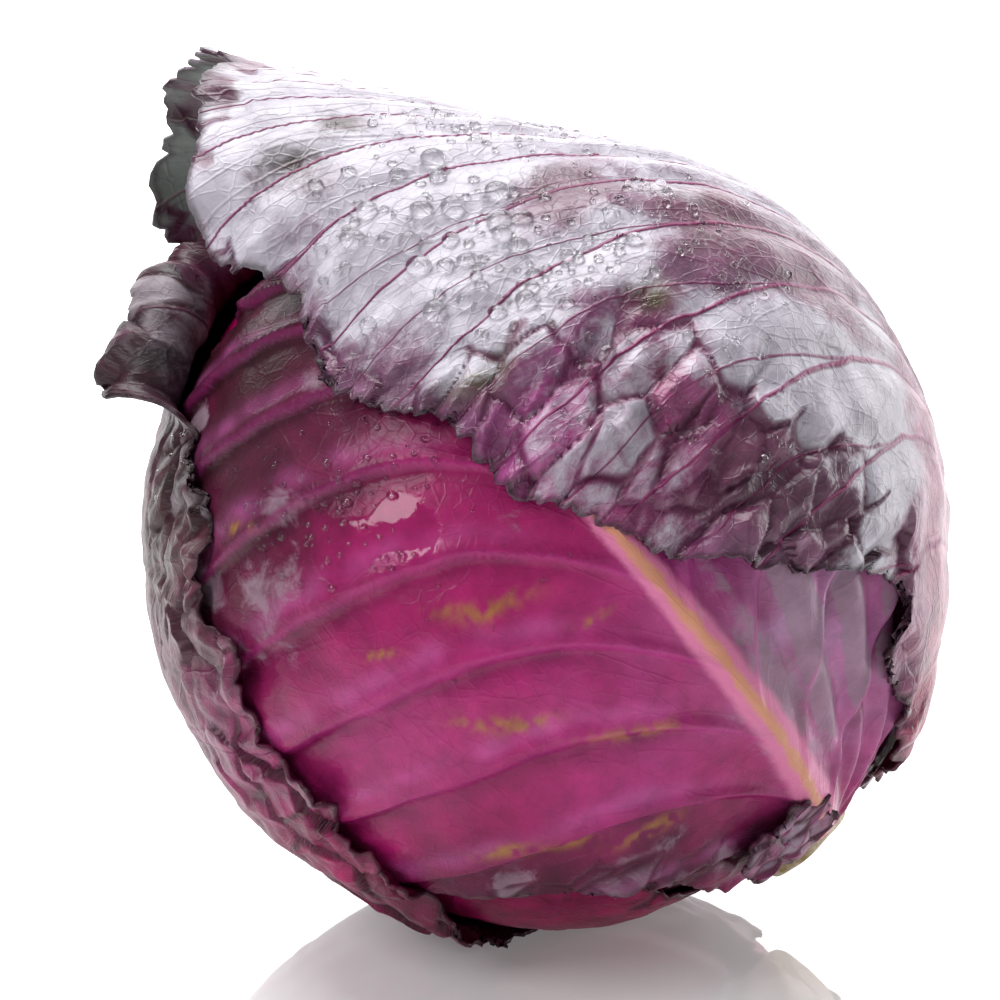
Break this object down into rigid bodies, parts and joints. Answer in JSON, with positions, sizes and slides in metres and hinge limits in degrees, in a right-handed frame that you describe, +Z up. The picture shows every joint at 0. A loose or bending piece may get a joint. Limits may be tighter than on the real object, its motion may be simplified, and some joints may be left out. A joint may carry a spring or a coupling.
{
  "type": "cabbage head",
  "caption": "Round red cabbage head lying on its side, with wrapper leaves over a solid heart, a pointed leaf hood and a cut stalk.",
  "frame": {"origin": "on the table, under the middle of the head's bounding box", "axes": "+Z up, +X to the viewer's right, where the cut stalk points right and down; the viewer stands at -Y"},
  "size_m": [0.1698, 0.1614, 0.1779],
  "materials": {
    "heart": "satin, packed purple leaves",
    "stalk": "matte, cream cut stalk",
    "inner_leaf": "smooth satin, deep magenta",
    "wrapper_leaf": "satin, veined magenta",
    "outer_leaf": "waxy grey-lilac bloom over purple",
    "leaf_scrap": "matte, weathered grey-purple",
    "water": "clear water drops, in the visual model only"
  },
  "bodies": {
    "root": {"heart": "heart", "stalk": "stalk", "under_leaf": "inner_leaf", "side_leaf": "inner_leaf", "back_leaf": "wrapper_leaf", "front_leaf": "wrapper_leaf", "left_leaf": "outer_leaf", "top_leaf": "outer_leaf", "broken_leaf": "leaf_scrap"}
  },
  "joints": []
}
